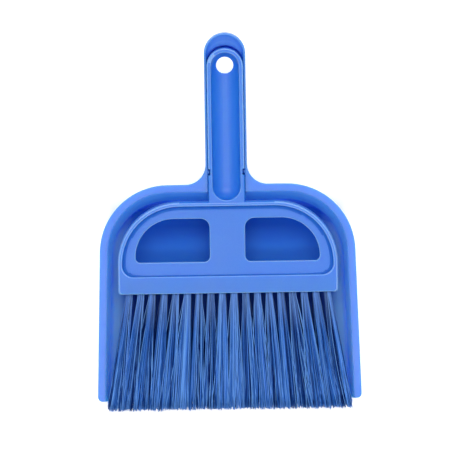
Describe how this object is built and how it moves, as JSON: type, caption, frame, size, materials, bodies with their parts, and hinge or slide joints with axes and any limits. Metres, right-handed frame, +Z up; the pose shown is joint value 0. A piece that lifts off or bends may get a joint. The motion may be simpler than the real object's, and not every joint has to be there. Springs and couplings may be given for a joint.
{
  "type": "dust pan and brush set",
  "caption": "Hand-held dustpan with a flanged tray and channel handle; a fan-shaped hand brush nests in it and lifts out.",
  "frame": {"origin": "middle of the outline, on the ground under the pan's flat floor", "axes": "+Z up, +Y from the lip towards the handles, +X to the right seen from above with the handles pointing away"},
  "size_m": [0.1698, 0.2416, 0.0451],
  "materials": {
    "pan_plastic": "satin moulded polypropylene, cornflower blue",
    "brush_plastic": "satin moulded polypropylene, cornflower blue",
    "bristle": "fine blue filaments",
    "staple_steel": "bright flat wire"
  },
  "bodies": {
    "pan": {"dustpan": "pan_plastic"},
    "brush": {"brush_body": "brush_plastic", "tuft_staples": "staple_steel", "tuft_r1_c01": "bristle", "tuft_r1_c02": "bristle", "tuft_r1_c03": "bristle", "tuft_r1_c04": "bristle", "tuft_r1_c05": "bristle", "tuft_r1_c06": "bristle", "tuft_r1_c07": "bristle", "tuft_r1_c08": "bristle", "tuft_r1_c09": "bristle", "tuft_r1_c10": "bristle", "tuft_r1_c11": "bristle", "tuft_r1_c12": "bristle", "tuft_r1_c13": "bristle", "tuft_r1_c14": "bristle", "tuft_r1_c15": "bristle", "tuft_r1_c16": "bristle", "tuft_r1_c17": "bristle", "tuft_r1_c18": "bristle", "tuft_r2_c01": "bristle", "tuft_r2_c02": "bristle", "tuft_r2_c03": "bristle", "tuft_r2_c04": "bristle", "tuft_r2_c05": "bristle", "tuft_r2_c06": "bristle", "tuft_r2_c07": "bristle", "tuft_r2_c08": "bristle", "tuft_r2_c09": "bristle", "tuft_r2_c10": "bristle", "tuft_r2_c11": "bristle", "tuft_r2_c12": "bristle", "tuft_r2_c13": "bristle", "tuft_r2_c14": "bristle", "tuft_r2_c15": "bristle", "tuft_r2_c16": "bristle", "tuft_r2_c17": "bristle", "tuft_r2_c18": "bristle", "tuft_r3_c01": "bristle", "tuft_r3_c02": "bristle", "tuft_r3_c03": "bristle", "tuft_r3_c04": "bristle", "tuft_r3_c05": "bristle", "tuft_r3_c06": "bristle", "tuft_r3_c07": "bristle", "tuft_r3_c08": "bristle", "tuft_r3_c09": "bristle", "tuft_r3_c10": "bristle", "tuft_r3_c11": "bristle", "tuft_r3_c12": "bristle", "tuft_r3_c13": "bristle", "tuft_r3_c14": "bristle", "tuft_r3_c15": "bristle", "tuft_r3_c16": "bristle", "tuft_r3_c17": "bristle", "tuft_r3_c18": "bristle"}
  },
  "joints": [
    {"name": "brush_lift", "type": "slide", "parent": "pan", "child": "brush", "axis": [0, -0.1392, 0.9903], "range_m": [0, 0.12]}
  ]
}
